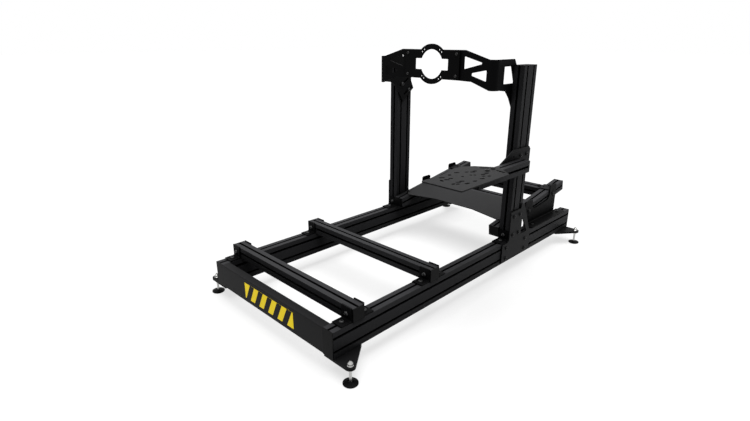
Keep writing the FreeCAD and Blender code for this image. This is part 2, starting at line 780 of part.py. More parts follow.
def wheel_bracket(name, sign):
    """A bent sheet: the front flange tapers out to the bend, the leg ends in a tilted tab with two slots."""
    thick = "Dim.side_sheet"
    top = "Dim.side_top"
    low = "Dim.side_top - Dim.side_height"

    def front(x, z):
        return times(sign, f"{x} - {INNER}"), z

    half = "Dim.wheel_plate_height / 2"
    flange = [
        front("Dim.wheel_plate_width / 2 - Dim.side_front_lap", f"-{half}"),
        front("Dim.side_taper_low_start", f"-{half} - Dim.side_low_step"),
        front("Dim.side_taper_low_end", low),
        front(INNER, low),
        front(INNER, top),
        front("Dim.side_taper_top_end", top),
        front("Dim.side_taper_top_start", half),
        front("Dim.wheel_plate_width / 2 - Dim.side_front_lap", half),
    ]
    leg = [
        ("0", low),
        ("1.5 * Dim.side_bend_radius", low),
        ("Dim.side_tab_near", f"{low} - Dim.side_leg_step"),
        ("Dim.side_tab_bend", "Dim.side_top - Dim.side_tab_bend_drop"),
        ("Dim.side_tab_low", "Dim.side_top - Dim.side_tab_low_drop"),
        ("Dim.side_tab_far", "Dim.side_top - Dim.side_tab_far_drop"),
        ("Dim.side_tab_high", "Dim.side_top - Dim.side_tab_high_drop"),
        ("Dim.side_leg_top_depth", top),
        ("0", top),
    ]
    body = new_body(name)
    pad(body, "XZ_Plane", flange, thick, reverse=True)
    pad(body, "YZ_Plane", leg, thick, reverse=sign > 0)
    inside = (times(-sign, thick), thick)
    round_corners(body, "XY_Plane", [inside], "Dim.side_bend_radius - Dim.side_sheet")
    round_corners(body, "XY_Plane", [("0", "0")], "Dim.side_bend_radius")
    upper = [
        front("Dim.side_hole_near", "Dim.side_hole_top"),
        front("Dim.side_hole_near", "Dim.side_hole_low"),
        front("Dim.side_hole_point", "Dim.side_hole_point_height"),
    ]
    lower = [
        front("Dim.side_hole_two_near", "Dim.side_hole_two_top"),
        front("Dim.side_hole_two_near", "Dim.side_hole_two_low"),
        front("Dim.side_hole_two_far", "Dim.side_hole_two_bottom"),
        front("Dim.side_hole_two_far", "Dim.side_hole_two_high"),
    ]
    cut(body, "XZ_Plane", outlines=[upper, lower])
    round_corners(body, "XZ_Plane", upper + lower, "Dim.side_hole_round")
    fixings = []
    for up in (1, -1):
        x, z = front("Dim.wheel_fix_spacing_x / 2", f"{up} * Dim.wheel_fix_spacing_z / 2")
        fixings.append((x, z, "Dim.wheel_fix_hole"))
    cut(body, "XZ_Plane", circles=fixings)
    window = [
        ("Dim.side_window_near", "Dim.side_top - Dim.side_window_top_drop"),
        ("Dim.side_window_top_far", "Dim.side_top - Dim.side_window_top_drop"),
        ("Dim.side_window_low_far", "Dim.side_top - Dim.side_window_low_drop"),
        ("Dim.side_window_near", "Dim.side_top - Dim.side_window_low_drop"),
    ]
    tilt = "Dim.side_slot_angle"
    slots = []
    places = (("Dim.side_slot_one", "Dim.side_slot_one_drop"), ("Dim.side_slot_two", "Dim.side_slot_two_drop"))
    for run, drop in places:
        slots.append((run, f"Dim.side_top - {drop}", "Dim.side_slot_length", "Dim.side_slot_width", tilt))
    cut(body, "YZ_Plane", outlines=[window], slots=slots)
    round_corners(body, "YZ_Plane", window, "Dim.side_hole_round")
    return place(body, times(sign, INNER), WHEEL_FLANGE, WHEEL_CENTRE)


# The shifter mount on the driver's right
def build_shifter():
    body = new_body("shifter_bracket")
    rise = "Dim.shifter_bracket_height"
    beam_half = "Dim.profile_side / 2"
    far = "Dim.profile_tall + Dim.shifter_bracket_far"
    corner = "Dim.shifter_bracket_corner"
    points = [
        ("-Dim.shifter_bracket_near", f"-{beam_half}"),
        (far, f"-{beam_half}"),
        (far, f"{rise} - {corner}"),
        (f"{far} - {corner}", rise),
        ("Dim.shifter_bracket_slope - Dim.shifter_bracket_near", rise),
        ("-Dim.shifter_bracket_near", beam_half),
    ]
    pad(body, "YZ_Plane", points, "Dim.shifter_bracket_thickness")
    level = f"{rise} - Dim.shifter_bolt_margin"
    holes = [(y, level, "Dim.bracket_hole") for y in (NEAR_SLOT, FAR_SLOT)]
    holes.append(("-Dim.shifter_spare_hole", level, "Dim.wheel_fix_hole"))
    for y in ("-Dim.shifter_beam_bolt", "Dim.shifter_beam_bolt_far"):
        holes.append((y, "0", "Dim.bracket_hole"))
    cut(body, "YZ_Plane", circles=holes)
    beam_level = "Dim.rail_clearance + Dim.shifter_beam_height"
    place(body, OUTER, "Dim.upright_place", beam_level)
    keep(body, "shifter_bracket")
    beam = profile("shifter_beam", "XZ_Plane", SQUARE, "Dim.shifter_beam_length")
    x = f"{BEAM_INNER} + Dim.profile_side / 2"
    place(beam, x, f"{BEAM_NEAR} + Dim.cap_thickness", beam_level)
    keep(beam, "shifter_beam")
    caps = []
    for y in (BEAM_NEAR, f"{BEAM_NEAR} + Dim.cap_thickness + Dim.shifter_beam_length"):
        caps.append(place(cap("shifter_cap", "XZ_Plane", SQUARE), x, y, beam_level))
    group("shifter_beam_caps", caps)
    keep(shifter_plate(x), "shifter_plate")


# Small slots of the shifter plate: place across and along from its near left corner, length, angle
SHIFTER_SLOTS = (
    (40, 44, 15, -35),
    (20, 71, 16, 55),
    (18, 111, 10, 70),
    (44, 64, 13, 40),
    (44, 83, 12, 60),
    (17, 149, 14, 50),
    (34, 177, 10, 75),
    (47, 190, 14, 45),
    (45, 205, 12, 60),
    (85, 190, 12, 55),
    (85, 209, 12, 50),
    (97, 173, 10, 80),
    (109, 186, 10, 80),
    (110, 147, 13, 60),
    (110, 110, 12, 75),
    (108, 74, 15, 80),
    (83, 66, 13, 60),
    (84, 82, 13, 60),
    (85, 41, 12, 80),
    (93, 49, 12, 60),
    (64, 156, 5.5, 0),
    (72, 165, 5.5, 0),
    (55, 126, 5.5, 0),
    (44.5, 257.5, 27, 40),
    (105, 256.5, 33, -14),
)


def shifter_plate(beam_x):
    """The plate that the shifter is bolted on: it lies on the beam, ends in a fan and has many slots."""
    left = "Dim.shifter_plate_left"
    right = "Dim.shifter_plate_right"
    far = "Dim.shifter_plate_length"
    points = [
        (left, "0"),
        (right, "0"),
        (right, "Dim.shifter_plate_right_run"),
        (beam_x, far),
        ("Dim.shifter_plate_left_far + Dim.shifter_plate_shoulder_in", "Dim.shifter_plate_shoulder"),
        ("Dim.shifter_plate_left_far", "Dim.shifter_plate_left_run"),
        ("Dim.shifter_plate_left_far", "Dim.shifter_plate_left_start"),
        (left, "Dim.shifter_plate_left_bend"),
    ]
    body = new_body("shifter_plate")
    pad(body, "XY_Plane", points, "Dim.shifter_plate_thickness")
    round_corners(body, "XY_Plane", points[2:6], "Dim.shifter_plate_round")
    round_corners(body, "XY_Plane", [points[0], points[1]], "Dim.gusset_corner")
    fixings = []
    for back in ("Dim.shifter_plate_bolt_one", "Dim.shifter_plate_bolt_two"):
        fixings.append((beam_x, f"{far} - {back}", "Dim.bracket_hole"))
    cut(body, "XY_Plane", circles=fixings)
    width = "Dim.shifter_slot_width"
    slots = []
    rounds = []
    for across, along, length, angle in SHIFTER_SLOTS:
        x = f"{left} + {across}"
        if length < value(width):
            rounds.append((x, str(along), str(length)))
        else:
            slots.append((x, str(along), str(length), width, str(angle)))
    cut(body, "XY_Plane", circles=rounds, slots=slots)
    return place(body, "0", "Dim.shifter_plate_near", BEAM_TOP)


# The tilted pedal deck
def on_deck(body, x="0", along="0", up="0"):
    """Puts a piece on the deck's own tilted axes: along its slope and up from its top face."""
    tilt = "Dim.deck_tilt"
    y = f"Dim.deck_place + ({along}) * cos({tilt}) - ({up}) * sin({tilt})"
    z = f"{DECK_ORIGIN} + ({along}) * sin({tilt}) + ({up}) * cos({tilt})"
    return place(body, x, y, z, X_AXIS, tilt)


def build_deck():
    caps = []
    half = "-Dim.profile_side / 2"
    for sign, side in ((-1, "left"), (1, "right")):
        x = times(sign, f"{INNER} - Dim.profile_side / 2")
        beam = profile(f"{side}_deck_beam", "XZ_Plane", SQUARE, "Dim.deck_beam_length")
        keep(on_deck(beam, x, "Dim.cap_thickness", half), f"{side}_deck_beam")
        for along in ("0", "Dim.cap_thickness + Dim.deck_beam_length"):
            caps.append(on_deck(cap("deck_cap", "XZ_Plane", SQUARE), x, along, half))
        keep(deck_bracket(f"{side}_deck_bracket", sign), f"{side}_deck_bracket")
    group("deck_beam_caps", caps)
    for name, along in (("heel", "Dim.heel_beam_place"), ("toe", "Dim.toe_beam_place")):
        beam = profile(f"{name}_cross_beam", "YZ_Plane", SQUARE, CROSS_LENGTH)
        start = f"Dim.profile_side - {INNER}"
        middle = f"{along} + Dim.profile_side / 2"
        keep(on_deck(beam, start, middle, half), f"{name}_cross_beam")
    keep(heel_plate(), "heel_plate")
    corners = [deck_corner_plate(sign) for sign in (-1, 1)]
    group("deck_corner_plates", corners)


def heel_plate():
    """The sheet under the driver's heels, cut back between its two wings."""
    half = f"({INNER} - Dim.heel_overhang)"
    near = "Dim.heel_near"
    far = "Dim.heel_far"
    corner = "Dim.heel_corner"
    points = [
        (f"-{half} + {corner}", near),
        ("-Dim.heel_notch_half", f"{near} + Dim.heel_notch"),
        ("Dim.heel_notch_half", f"{near} + Dim.heel_notch"),
        (f"{half} - {corner}", near),
        (half, f"{near} + {corner}"),
        (half, far),
        (f"-{half}", far),
        (f"-{half}", f"{near} + {corner}"),
    ]
    body = new_body("heel_plate")
    pad(body, "XY_Plane", points, "Dim.heel_sheet")
    bolt_x = f"{INNER} - Dim.profile_side / 2"
    holes = []
    for sign in (-1, 1):
        for along in (f"{near} + Dim.heel_bolt_inset", f"{far} - Dim.heel_bolt_inset"):
            holes.append((times(sign, bolt_x), along, "Dim.wheel_fix_hole"))
    cut(body, "XY_Plane", circles=holes)
    return on_deck(body)


def deck_corner_plate(sign):
    """A flat corner plate over the joint of the toe beam and the deck beam."""
    side = "Dim.profile_side"
    wide = "Dim.deck_corner_plate"
    points = [
        (times(sign, f"{INNER}"), "0"),
        (times(sign, f"{INNER}"), f"{side} + Dim.deck_corner_lap"),
        (times(sign, f"{INNER} - {side} / 2"), f"{side} + Dim.deck_corner_lap"),
        (times(sign, f"{INNER} - {wide}"), side),
        (times(sign, f"{INNER} - {wide}"), "0"),
    ]
    body = new_body("deck_corner_plate")
    pad(body, "XY_Plane", points, "Dim.deck_corner_sheet")
    beam_bolt = times(sign, f"{INNER} - {side} / 2")
    cross_bolt = times(sign, f"{INNER} - {wide} + Dim.deck_corner_margin")
    hole = "Dim.bracket_hole"
    cut(body, "XY_Plane", circles=[(beam_bolt, side, hole), (cross_bolt, f"{side} / 2", hole)])
    return on_deck(body, "0", "Dim.toe_beam_place")


def deck_bracket(name, sign):
    """A bent sheet on the rail's top: a flange, and a web with a near arm, a valley and a far arm."""
    thick = "Dim.deck_bracket_thickness"
    arm = "Dim.deck_arm_width"
    length = "Dim.deck_bracket_length"
    near_top = "Dim.deck_near_arm_height"
    far_top = "Dim.deck_far_arm_height"
    web = [
        ("0", "0"),
        (f"Dim.deck_far_arm_place + {arm}", "0"),
        (f"Dim.deck_far_arm_place + {arm}", far_top),
        ("Dim.deck_far_arm_place", far_top),
        ("Dim.deck_far_arm_place", "Dim.deck_valley_far_height"),
        (arm, "Dim.deck_valley_height"),
        (arm, near_top),
        ("0", near_top),
    ]
    flange = [
        ("0", "0"),
        (times(sign, "Dim.profile_side"), "0"),
        (times(sign, "Dim.profile_side"), length),
        ("0", length),
    ]
    body = new_body(name)
    pad(body, "YZ_Plane", web, thick, reverse=sign < 0)
    pad(body, "XY_Plane", flange, thick)
    round_corners(body, "XZ_Plane", [(times(sign, thick), thick)], thick)
    round_corners(body, "YZ_Plane", [web[4], web[5]], "Dim.deck_valley_round")
    round_corners(body, "YZ_Plane", [web[2], web[3], web[6], web[7]], "Dim.deck_arm_round")
    corners = [flange[1], flange[2]]
    round_corners(body, "XY_Plane", corners, "Dim.deck_arm_round")
    holes = []
    slot_drop = "Dim.profile_side / 2"
    tilt = "Dim.deck_tilt"
    for arm_start, count in (("0", 4), ("Dim.deck_far_arm_place", 5)):
        middle = f"{arm_start} + {arm} / 2"
        run = f"(Dim.deck_bracket_start + {middle} - Dim.deck_place)"
        level = f"Dim.deck_height - Dim.profile_tall + {run} * tan({tilt}) - ({slot_drop}) / cos({tilt})"
        for number in range(count):
            drop = f"({number} - 1) * Dim.deck_hole_pitch"
            holes.append((middle, f"{level} - {drop}", "Dim.deck_hole"))
    cut(body, "YZ_Plane", circles=holes)
    rail_holes = []
    for along in ("Dim.deck_flange_hole_near", "Dim.deck_flange_hole_far"):
        rail_holes.append((times(sign, "Dim.profile_side / 2"), along, "Dim.bracket_hole"))
    cut(body, "XY_Plane", circles=rail_holes)
    return place(body, times(sign, INNER), "Dim.deck_bracket_start", RAIL_TOP)


def check_pieces():
    """Stops with a plain message where any feature failed or a sub-part isn't a sound solid."""
    for thing in doc.Objects:
        if "Invalid" in thing.State or "Error" in thing.State:
            raise RuntimeError(f"{thing.Name} ({thing.Label}): {thing.State}")
    for thing in subparts:
        shape = thing.Shape
        if shape.isNull() or not shape.isValid() or not shape.Solids:
            raise RuntimeError(f"{thing.Label}: no valid solid")


build_rails()
build_rear_cover()
build_feet()
build_seat_bars()
build_uprights()
build_wheel_mount()
build_shifter()
build_deck()
doc.recompute()
check_pieces()

os.makedirs("parts", exist_ok=True)
for thing in subparts:
    thing.Shape.exportStep(os.path.join("parts", f"{thing.Label}.step"))
print(len(subparts), "sub-parts,", sum(len(thing.Shape.Solids) for thing in subparts), "solids")
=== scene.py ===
"""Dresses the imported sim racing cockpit: finishes, screws, striped band, floor, lamp and camera."""
import json
import math

import bmesh
import bpy
from bpy.props import FloatProperty, FloatVectorProperty, IntProperty, PointerProperty
from mathutils import Matrix, Vector


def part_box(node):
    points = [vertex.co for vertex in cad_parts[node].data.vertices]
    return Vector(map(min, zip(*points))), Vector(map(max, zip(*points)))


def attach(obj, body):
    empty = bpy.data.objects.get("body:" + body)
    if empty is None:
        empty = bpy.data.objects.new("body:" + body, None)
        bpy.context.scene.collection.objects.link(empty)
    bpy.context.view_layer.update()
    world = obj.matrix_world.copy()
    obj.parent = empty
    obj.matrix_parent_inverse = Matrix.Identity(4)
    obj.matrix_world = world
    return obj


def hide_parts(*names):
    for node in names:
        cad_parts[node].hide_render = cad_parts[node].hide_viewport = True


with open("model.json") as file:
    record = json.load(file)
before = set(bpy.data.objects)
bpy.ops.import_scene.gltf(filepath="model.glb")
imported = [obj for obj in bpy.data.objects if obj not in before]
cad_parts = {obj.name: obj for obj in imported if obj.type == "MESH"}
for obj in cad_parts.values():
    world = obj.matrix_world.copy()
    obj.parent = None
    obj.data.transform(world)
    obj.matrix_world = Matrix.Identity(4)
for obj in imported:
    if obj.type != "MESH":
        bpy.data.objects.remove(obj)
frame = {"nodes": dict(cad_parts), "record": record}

bl_info = {
    "name": "Racing cockpit dressing",
    "version": (1, 0, 0),
    "blender": (4, 5, 0),
    "location": "3D View > Sidebar > Cockpit",
    "description": "Finishes and small parts of a sim racing cockpit",
    "category": "Object",
}

# Lengths are written in millimetres, as a maker gives them
MM = 0.001
SIDES = ((-1, "left"), (1, "right"))
UP = Vector((0, 0, 1))
TO_DRIVER = Vector((0, -1, 0))
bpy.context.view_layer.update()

# Farther out than any point of the frame, in metres
FAR = 10


class CockpitSizes(bpy.types.PropertyGroup):
    """Sizes of the small parts"""

    large_head: FloatProperty(name="Large screw head", description="Diameter of the M8 button heads",
                              default=14 * MM, unit="LENGTH")
    small_head: FloatProperty(name="Small screw head", description="Diameter of the M6 button heads",
                              default=10.5 * MM, unit="LENGTH")
    washer: FloatProperty(name="Washer", description="Diameter of the washers under the M8 screws",
                          default=16 * MM, unit="LENGTH")
    flange: FloatProperty(name="Nut flange", description="Diameter of the flanges of the levelling nuts",
                          default=17.9 * MM, unit="LENGTH")
    facets: IntProperty(name="Facets", description="Sides of a round head", default=24, min=12, max=48)
    band_length: FloatProperty(name="Band length", description="Length of the band on the rear cover",
                               default=251 * MM, unit="LENGTH")
    band_height: FloatProperty(name="Band height", description="Height of the band on the rear cover",
                               default=52 * MM, unit="LENGTH")
    stripe: FloatProperty(name="Stripe", description="Width of one black stripe of the band",
                          default=24 * MM, unit="LENGTH")


class CockpitColours(bpy.types.PropertyGroup):
    """Colours of the finishes"""

    anodised: FloatVectorProperty(name="Anodised", description="Black anodised aluminium",
                                  default=(0.046, 0.046, 0.0488), subtype="COLOR", size=3)
    powder: FloatVectorProperty(name="Powder coat", description="Black powder coat of the plates",
                                default=(0.016, 0.016, 0.0168), subtype="COLOR", size=3)
    # The bracket colour is a darker copy of the powder coat: partly the brackets' own deeper black, partly
    # painted shade of the places they sit in
    bracket: FloatVectorProperty(name="Brackets", description="Deep black coat of the bent brackets",
                                 default=(0.006, 0.006, 0.0064), subtype="COLOR", size=3)
    tread: FloatVectorProperty(name="Flat plates", description="Dark grey coat of the two flat plates",
                               default=(0.037, 0.037, 0.038), subtype="COLOR", size=3)
    plastic: FloatVectorProperty(name="Plastic", description="Black plastic of the caps and foot pads",
                                 default=(0.003, 0.003, 0.0032), subtype="COLOR", size=3)
    zinc: FloatVectorProperty(name="Zinc", description="Bright zinc of the levelling screws",
                              default=(0.45, 0.45, 0.44), subtype="COLOR", size=3)
    oxide: FloatVectorProperty(name="Screws", description="Black oxide of most screws",
                               default=(0.004, 0.004, 0.0045), subtype="COLOR", size=3)
    # A lighter and shinier copy of the black screw finish: a painted highlight for the heads that face the
    # lamp and the camera
    screws_highlight_colour: FloatVectorProperty(name="Bright screws", description="Dark nickel of the brighter screws",
                                default=(0.02, 0.02, 0.0205), subtype="COLOR", size=3)
    band: FloatVectorProperty(name="Band", description="Yellow of the striped band",
                              default=(0.85, 0.64, 0.02), subtype="COLOR", size=3)
    floor: FloatVectorProperty(name="Floor", description="Colour of the studio floor",
                               default=(0.36, 0.36, 0.36), subtype="COLOR", size=3)


def sizes():
    return bpy.context.scene.cockpit_sizes


def colours():
    return bpy.context.scene.cockpit_colours


# What the frame says about places
def corners(node):
    """Lowest and highest corner of a CAD node, as vectors."""
    low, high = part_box(node)
    return Vector(low), Vector(high)


def middle(node):
    low, high = corners(node)
    return (low + high) / 2


def outer_x(node, sign):
    """The x of a node's face away from the frame's middle plane."""
    low, high = corners(node)
    return high.x if sign > 0 else low.x


def inner_x(node, sign):
    """The x of a node's face towards the frame's middle plane."""
    return outer_x(node, -sign)


# Nodes of a material
def feed(tree, socket, value):
    """Links a socket to another one, or gives it a plain value."""
    if isinstance(value, bpy.types.NodeSocket):
        tree.links.new(value, socket)
    else:
        socket.default_value = value


def calculated(tree, operation, first, second):
    """The outcome of an operation on two sockets or numbers."""
    node = tree.nodes.new("ShaderNodeMath")
    node.operation = operation
    feed(tree, node.inputs[0], first)
    feed(tree, node.inputs[1], second)
    return node.outputs[0]


def blended(tree, share, first, second):
    """A colour that goes from the first to the second as the share goes from 0 to 1."""
    node = tree.nodes.new("ShaderNodeMix")
    node.data_type = "RGBA"
    feed(tree, node.inputs["Factor"], share)
    feed(tree, node.inputs["A"], first)
    feed(tree, node.inputs["B"], second)
    return node.outputs["Result"]


def ranged(tree, value, low, high):
    """A share from 0 to 1, turned into a number between two others."""
    node = tree.nodes.new("ShaderNodeMapRange")
    feed(tree, node.inputs["Value"], value)
    node.inputs["To Min"].default_value = low
    node.inputs["To Max"].default_value = high
    return node.outputs["Result"]


def opaque(colour, share=1):
    """A colour times a share, with full opacity."""
    return (*(part * share for part in colour), 1)


# Finishes
GRAIN_DETAIL = 3
GRAIN_HEIGHT = 0.05 * MM

# The share of open sky around a point is raised to this power, and is looked for as far as the reaches say
HOLLOW_POWER = 1.6
HOLLOW_SAMPLES = 6
PROFILE_REACH = 140 * MM
PLATE_REACH = 80 * MM
TREAD_REACH = 12 * MM

# The band's film glows with this share of its own colour: painted light, which makes the yellow brighter
# than the lamps alone would
BAND_PAINTED_GLOW = 0.55


def shader_of(material):
    return material.node_tree.nodes["Principled BSDF"]


def new_material(name, colour, roughness, specular, metallic=0):
    """A material with a plain shader, to which detail can be added."""
    material = bpy.data.materials.new(name)
    material.use_nodes = True
    shader = shader_of(material)
    shader.inputs["Base Color"].default_value = opaque(colour)
    shader.inputs["Roughness"].default_value = roughness
    shader.inputs["Metallic"].default_value = metallic
    shader.inputs["Specular IOR Level"].default_value = specular
    return material


def add_grain(material, scale, bump, spread, shade):
    """Fine noise on the height of a finish, on its roughness by the spread and its colour by the shade."""
    tree = material.node_tree
    shader = shader_of(material)
    place = tree.nodes.new("ShaderNodeTexCoord")
    noise = tree.nodes.new("ShaderNodeTexNoise")
    noise.inputs["Scale"].default_value = scale
    noise.inputs["Detail"].default_value = GRAIN_DETAIL
    tree.links.new(place.outputs["Object"], noise.inputs["Vector"])
    grain = noise.outputs["Fac"]
    roughness = shader.inputs["Roughness"].default_value
    feed(tree, shader.inputs["Roughness"], ranged(tree, grain, roughness - spread, roughness + spread))
    height = tree.nodes.new("ShaderNodeBump")
    height.inputs["Strength"].default_value = bump
    height.inputs["Distance"].default_value = GRAIN_HEIGHT
    tree.links.new(grain, height.inputs["Height"])
    tree.links.new(height.outputs["Normal"], shader.inputs["Normal"])
    colour = shader.inputs["Base Color"].default_value[:3]
    tinted = blended(tree, grain, opaque(colour, 1 - shade), opaque(colour, 1 + shade))
    feed(tree, shader.inputs["Base Color"], tinted)
    return material


def shade_hollows(material, reach):
    """Takes colour and shine out of slots and inner corners, where little light gets in."""
    tree = material.node_tree
    shader = shader_of(material)
    open_sky = tree.nodes.new("ShaderNodeAmbientOcclusion")
    open_sky.samples = HOLLOW_SAMPLES
    open_sky.inputs["Distance"].default_value = reach
    light = calculated(tree, "POWER", open_sky.outputs["AO"], HOLLOW_POWER)
    colour = shader.inputs["Base Color"].links[0].from_socket
    feed(tree, shader.inputs["Base Color"], blended(tree, light, (0, 0, 0, 1), colour))
    shine = calculated(tree, "MULTIPLY", light, shader.inputs["Specular IOR Level"].default_value)
    feed(tree, shader.inputs["Specular IOR Level"], shine)
    return material


def anodised_material():
    material = new_material("anodised_black", colours().anodised, roughness=0.42, specular=0.03)
    add_grain(material, scale=900, bump=0.12, spread=0.06, shade=0.06)
    return shade_hollows(material, PROFILE_REACH)


def powder_material():
    material = new_material("powder_black", colours().powder, roughness=0.5, specular=0.05)
    add_grain(material, scale=700, bump=0.35, spread=0.08, shade=0.1)
    return shade_hollows(material, PLATE_REACH)


def dark_and_shaded_powder_material():
    # A darker copy of the powder coat: partly a deeper black coat, partly painted shade where these plates
    # lie in shadow
    material = new_material("powder_dark_and_shaded", colours().bracket, roughness=0.5, specular=0.03)
    add_grain(material, scale=700, bump=0.35, spread=0.08, shade=0.1)
    return shade_hollows(material, PLATE_REACH)


def tread_material():
    material = new_material("powder_grey", colours().tread, roughness=0.55, specular=0.035)
    add_grain(material, scale=500, bump=0.4, spread=0.08, shade=0.1)
    return shade_hollows(material, TREAD_REACH)


def plastic_material():
    material = new_material("moulded_plastic", colours().plastic, roughness=0.45, specular=0.05)
    return add_grain(material, scale=1200, bump=0.2, spread=0.05, shade=0.06)


def zinc_material():
    material = new_material("bright_zinc", colours().zinc, roughness=0.28, specular=0.5, metallic=1)
    return add_grain(material, scale=400, bump=0.1, spread=0.08, shade=0.08)


def oxide_material():
    material = new_material("black_oxide", colours().oxide, roughness=0.25, specular=0.1)
    return add_grain(material, scale=800, bump=0.1, spread=0.06, shade=0.06)


def screws_painted_highlight_material():
    # Painted highlight: the same screws as the black oxide ones, made lighter and shinier where their heads
    # face the light
    material = new_material("screws_painted_highlight", colours().screws_highlight_colour, roughness=0.3, specular=0.32)
    return add_grain(material, scale=800, bump=0.1, spread=0.06, shade=0.06)


def band_material():
    material = new_material("band_yellow", colours().band, roughness=0.45, specular=0.1)
    shader = shader_of(material)
    # Painted light: the band gives off light of its own colour, though it is no lamp
    shader.inputs["Emission Color"].default_value = opaque(colours().band)
    shader.inputs["Emission Strength"].default_value = BAND_PAINTED_GLOW
    return add_grain(material, scale=300, bump=0.05, spread=0.04, shade=0.03)


MATERIAL_MAKERS = {
    "anodised_black": anodised_material,
    "powder_black": powder_material,
    "powder_dark_and_shaded": dark_and_shaded_powder_material,
    "powder_grey": tread_material,
    "moulded_plastic": plastic_material,
    "bright_zinc": zinc_material,
    "black_oxide": oxide_material,
    "screws_painted_highlight": screws_painted_highlight_material,
    "band_yellow": band_material,
}

# The finish of each material slot of the record
SLOT_FINISH = {
    "profile": "anodised_black",
    "cap": "moulded_plastic",
    "cover": "powder_black",
    "plate": "powder_black",
    "bracket": "powder_dark_and_shaded",
    "tread": "powder_grey",
    "zinc": "bright_zinc",
    "foot_pad": "moulded_plastic",
}

# Nodes that get the darker copy of the powder coat instead of their slot's finish; their dark is partly a
# deeper coat and partly painted shade of where they sit
DARK_AND_SHADED_NODES = ("left_deck_bracket", "right_deck_bracket", "wheel_plate", "right_wheel_bracket")


def finish(name):
    """A finish by its name, made once."""
    return bpy.data.materials.get(name) or MATERIAL_MAKERS[name]()


class COCKPIT_OT_finishes(bpy.types.Operator):
    """Gives every CAD node the finish of its material slot, or to a few the darker powder coat with its
    painted shade
    """

    bl_idname = "cockpit.finishes"
    bl_label = "Finishes"

    def execute(self, context):
        for row in frame["record"]["subparts"]:
            name = row["node"]
            coat = "powder_dark_and_shaded" if name in DARK_AND_SHADED_NODES else SLOT_FINISH[row["material_slot"]]
            materials = frame["nodes"][name].data.materials
            materials.clear()
            materials.append(finish(coat))
        return {"FINISHED"}


# Meshes of the small parts
FLAT_ANGLE = math.radians(35)
HEXAGON_SECTOR = math.radians(60)
WASHER_HEIGHT = 1.4 * MM

# Height of a button head as a share of its width, and its rings as shares of its width and height
BUTTON_HEIGHT = 0.3
BUTTON_RINGS = ((0.96, 0), (1, 0.1), (1, 0.22), (0.93, 0.55), (0.78, 0.85), (0.58, 1))
SOCKET_RINGS = ((0.36, 1), (0.34, 0.35))


def new_piece(name, bm, material):
    """A finished mesh object that rides on the frame."""
    mesh = bpy.data.meshes.new(name)
    bmesh.ops.recalc_face_normals(bm, faces=bm.faces)
    bm.to_mesh(mesh)
    bm.free()
    mesh.shade_smooth()
    mesh.set_sharp_from_angle(angle=FLAT_ANGLE)
    mesh.materials.append(finish(material))
    piece = bpy.data.objects.new(name, mesh)
    bpy.context.collection.objects.link(piece)
    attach(piece, "root")
    return piece


def hexagon_reach(across, angle):
    """Distance from the middle to a hexagon's edge, for its width across the flats."""
    return across / 2 / math.cos(angle % HEXAGON_SECTOR - HEXAGON_SECTOR / 2)


def turned(bm, rings, to_place, facets):
    """Adds a closed turned form. Each ring is its width, its height and whether it is a hexagon."""
    rows = []
    for width, height, hexagonal in rings:
        row = []
        for step in range(facets):
            angle = math.tau * step / facets
            reach = hexagon_reach(width, angle) if hexagonal else width / 2
            spot = Vector((reach * math.cos(angle), reach * math.sin(angle), height))
            row.append(bm.verts.new(to_place @ spot))
        rows.append(row)
    bm.faces.new(list(reversed(rows[0])))
    for lower, upper in zip(rows, rows[1:]):
        for step in range(facets):
            following = (step + 1) % facets
            bm.faces.new((lower[step], lower[following], upper[following], upper[step]))
    bm.faces.new(rows[-1])


def facing(spot, normal):
    """Places a form that is built along +Z on a surface with that normal."""
    return Matrix.Translation(spot) @ Vector(normal).to_track_quat("Z", "Y").to_matrix().to_4x4()


def button_head(bm, spot, normal, head, washer=0):
    """A button-head screw with a hexagon socket, on a washer where it has one."""
    facets = sizes().facets
    place = facing(spot, normal)
    lift = 0
    if washer:
        lift = WASHER_HEIGHT
        turned(bm, [(washer, 0, False), (washer, lift, False)], place, facets)
    high = BUTTON_HEIGHT * head
    rings = [(wide * head, lift + up * high, False) for wide, up in BUTTON_RINGS]
    rings += [(wide * head, lift + up * high, True) for wide, up in SOCKET_RINGS]
    turned(bm, rings, place, facets)


# Plates that are shown in place of their solids, with their last millimetres put right. Points closer
# together than this are joined, and faces whose normal rises this far look up
DOUBLE_POINTS = 0.01 * MM
UPWARD = 0.9

# How far the seat bars' angles stand over the bars, and how far down from their tops their corners reach
ANGLE_OVER_BAR = 2.5 * MM
ANGLE_CORNERS = 6 * MM

# The leg of the left wheel bracket: its top over the wheel's centre, the strip of its window's near edge
# behind the bend and under the top, its top corner, and how far the two are moved
LEG_TOP = 21.5 * MM
WINDOW_EDGE = (50 * MM, 58 * MM)
WINDOW_DROP = (80 * MM, 20 * MM)
WINDOW_SHIFT = 17 * MM
TOP_CORNER = (110 * MM, 114 * MM)
TOP_CORNER_DROP = 1 * MM
TOP_CORNER_SHIFT = 16 * MM

# How far the edges of the shifter plate's holes are moved outwards
HOLE_GROWTH = 1.6 * MM


def plate_copy(node):
    """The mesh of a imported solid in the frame's own axes, with its doubled points joined."""
    source = frame["nodes"][node]
    bm = bmesh.new()
    bm.from_mesh(source.data)
    bm.transform(source.matrix_world)
    bmesh.ops.remove_doubles(bm, verts=bm.verts, dist=DOUBLE_POINTS)
    return bm


def show_instead(bm, node, name, material):
    """Shows a piece in place of a CAD node."""
    piece = new_piece(name, bm, material)
    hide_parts(node)


def move_points(bm, low, high, offset):
    """Moves the points between two corners."""
    for vert in bm.verts:
        if all(a <= c <= b for a, c, b in zip(low, vert.co, high)):
            vert.co += Vector(offset)


def looks_up(face):
    return face.normal.z > UPWARD


